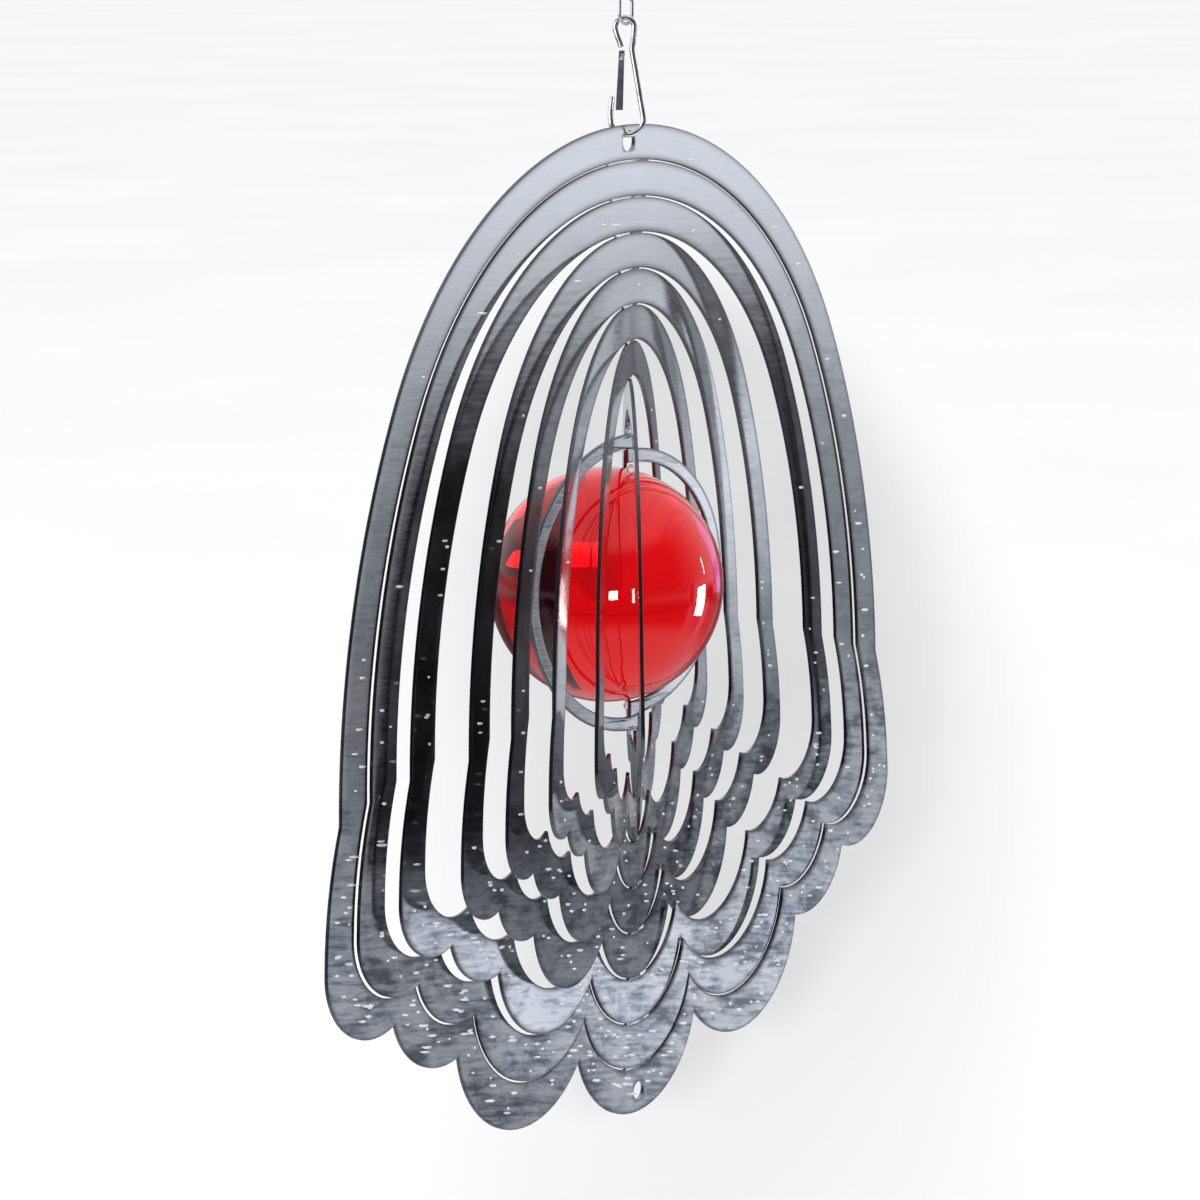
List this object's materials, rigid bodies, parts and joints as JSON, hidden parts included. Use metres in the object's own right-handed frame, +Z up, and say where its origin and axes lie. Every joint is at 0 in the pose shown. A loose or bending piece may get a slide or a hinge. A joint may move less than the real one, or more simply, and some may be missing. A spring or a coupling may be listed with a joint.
{
  "type": "kinetic wind sculpture",
  "caption": "Hanging wind sculpture: nested scalloped mirror-steel rings fanned about a vertical axis around a red glass ball, on a snap hook and barrel swivel.",
  "frame": {"origin": "inside top of the swivel's upper eye, where the sculpture hangs", "axes": "+Z up along the hanging line, +Y away from the viewer of the picture, +X to the viewer's right"},
  "size_m": [0.12, 0.1772, 0.2546],
  "materials": {
    "ring_1_steel": "mirror polished stainless steel",
    "ring_2_steel": "mirror polished stainless steel",
    "ring_3_steel": "mirror polished stainless steel",
    "ring_4_steel": "mirror polished stainless steel",
    "ring_5_steel": "mirror polished stainless steel",
    "ring_6_steel": "mirror polished stainless steel",
    "ring_7_steel": "mirror polished stainless steel",
    "ring_8_steel": "mirror polished stainless steel",
    "cage_steel": "mirror polished stainless steel",
    "red_glass": "clear polished red glass",
    "clear_cement": "clear cement",
    "hook_steel": "plated wire",
    "gate_steel": "plated sheet",
    "swivel_steel": "plated, slightly satin"
  },
  "bodies": {
    "upper_eye": {"swivel_upper_eye": "swivel_steel", "swivel_upper_head": "swivel_steel"},
    "barrel": {"swivel_barrel": "swivel_steel"},
    "lower_eye": {"swivel_lower_eye": "swivel_steel", "swivel_lower_head": "swivel_steel"},
    "hook": {"snap_hook": "hook_steel", "hook_tang": "hook_steel", "gate_pin": "hook_steel"},
    "gate": {"hook_gate": "gate_steel"},
    "ring_1": {"ring_1": "ring_1_steel"},
    "ring_2": {"ring_2": "ring_2_steel"},
    "ring_3": {"ring_3": "ring_3_steel"},
    "ring_4": {"ring_4": "ring_4_steel"},
    "ring_5": {"ring_5": "ring_5_steel"},
    "ring_6": {"ring_6": "ring_6_steel"},
    "ring_7": {"ring_7": "ring_7_steel"},
    "ring_8": {"ring_8": "ring_8_steel"},
    "cage": {"ball_cage": "cage_steel", "glass_ball": "red_glass", "cement_top": "clear_cement", "cement_low": "clear_cement"}
  },
  "joints": [
    {"name": "barrel_spin", "type": "hinge", "parent": "upper_eye", "child": "barrel", "pos_m": [0, 0, -0.01], "axis": [0, 0, 1], "continuous": true},
    {"name": "swivel_spin", "type": "hinge", "parent": "barrel", "child": "lower_eye", "pos_m": [0, 0, -0.015], "axis": [0, 0, 1], "continuous": true},
    {"name": "hook_swing", "type": "hinge", "parent": "lower_eye", "child": "hook", "pos_m": [0, 0, -0.02042], "axis": [0.5592, 0.829, 0], "range_deg": [-20, 20]},
    {"name": "gate_hinge", "type": "hinge", "parent": "hook", "child": "gate", "pos_m": [-0.0008, 0, -0.02678], "axis": [0, -1, 0], "range_deg": [0, 11], "stiffness_Nm_per_rad": 0.01, "springref_deg": -8.59},
    {"name": "plate_swing", "type": "hinge", "parent": "hook", "child": "ring_1", "pos_m": [0, 0, -0.04317], "axis": [1, 0, 0], "range_deg": [-20, 20]},
    {"name": "turn_ring_2", "type": "hinge", "parent": "ring_1", "child": "ring_2", "pos_m": [0, 0, -0.13207], "axis": [0, 0, 1], "range_deg": [-8, 8]},
    {"name": "turn_ring_3", "type": "hinge", "parent": "ring_2", "child": "ring_3", "pos_m": [0, 0, -0.13207], "axis": [0, 0, 1], "range_deg": [-14, 14]},
    {"name": "turn_ring_4", "type": "hinge", "parent": "ring_3", "child": "ring_4", "pos_m": [0, 0, -0.13207], "axis": [0, 0, 1], "range_deg": [-20, 20]},
    {"name": "turn_ring_5", "type": "hinge", "parent": "ring_4", "child": "ring_5", "pos_m": [0, 0, -0.13207], "axis": [0, 0, 1], "range_deg": [-20, 20]},
    {"name": "turn_ring_6", "type": "hinge", "parent": "ring_5", "child": "ring_6", "pos_m": [0, 0, -0.13207], "axis": [0, 0, 1], "range_deg": [-25, 25]},
    {"name": "turn_ring_7", "type": "hinge", "parent": "ring_6", "child": "ring_7", "pos_m": [0, 0, -0.13207], "axis": [0, 0, 1], "range_deg": [-30, 25]},
    {"name": "turn_ring_8", "type": "hinge", "parent": "ring_7", "child": "ring_8", "pos_m": [0, 0, -0.13207], "axis": [0, 0, 1], "range_deg": [-35, 25]},
    {"name": "turn_cage", "type": "hinge", "parent": "ring_8", "child": "cage", "pos_m": [0, 0, -0.13207], "axis": [0, 0, 1], "range_deg": [-30, 34]}
  ]
}
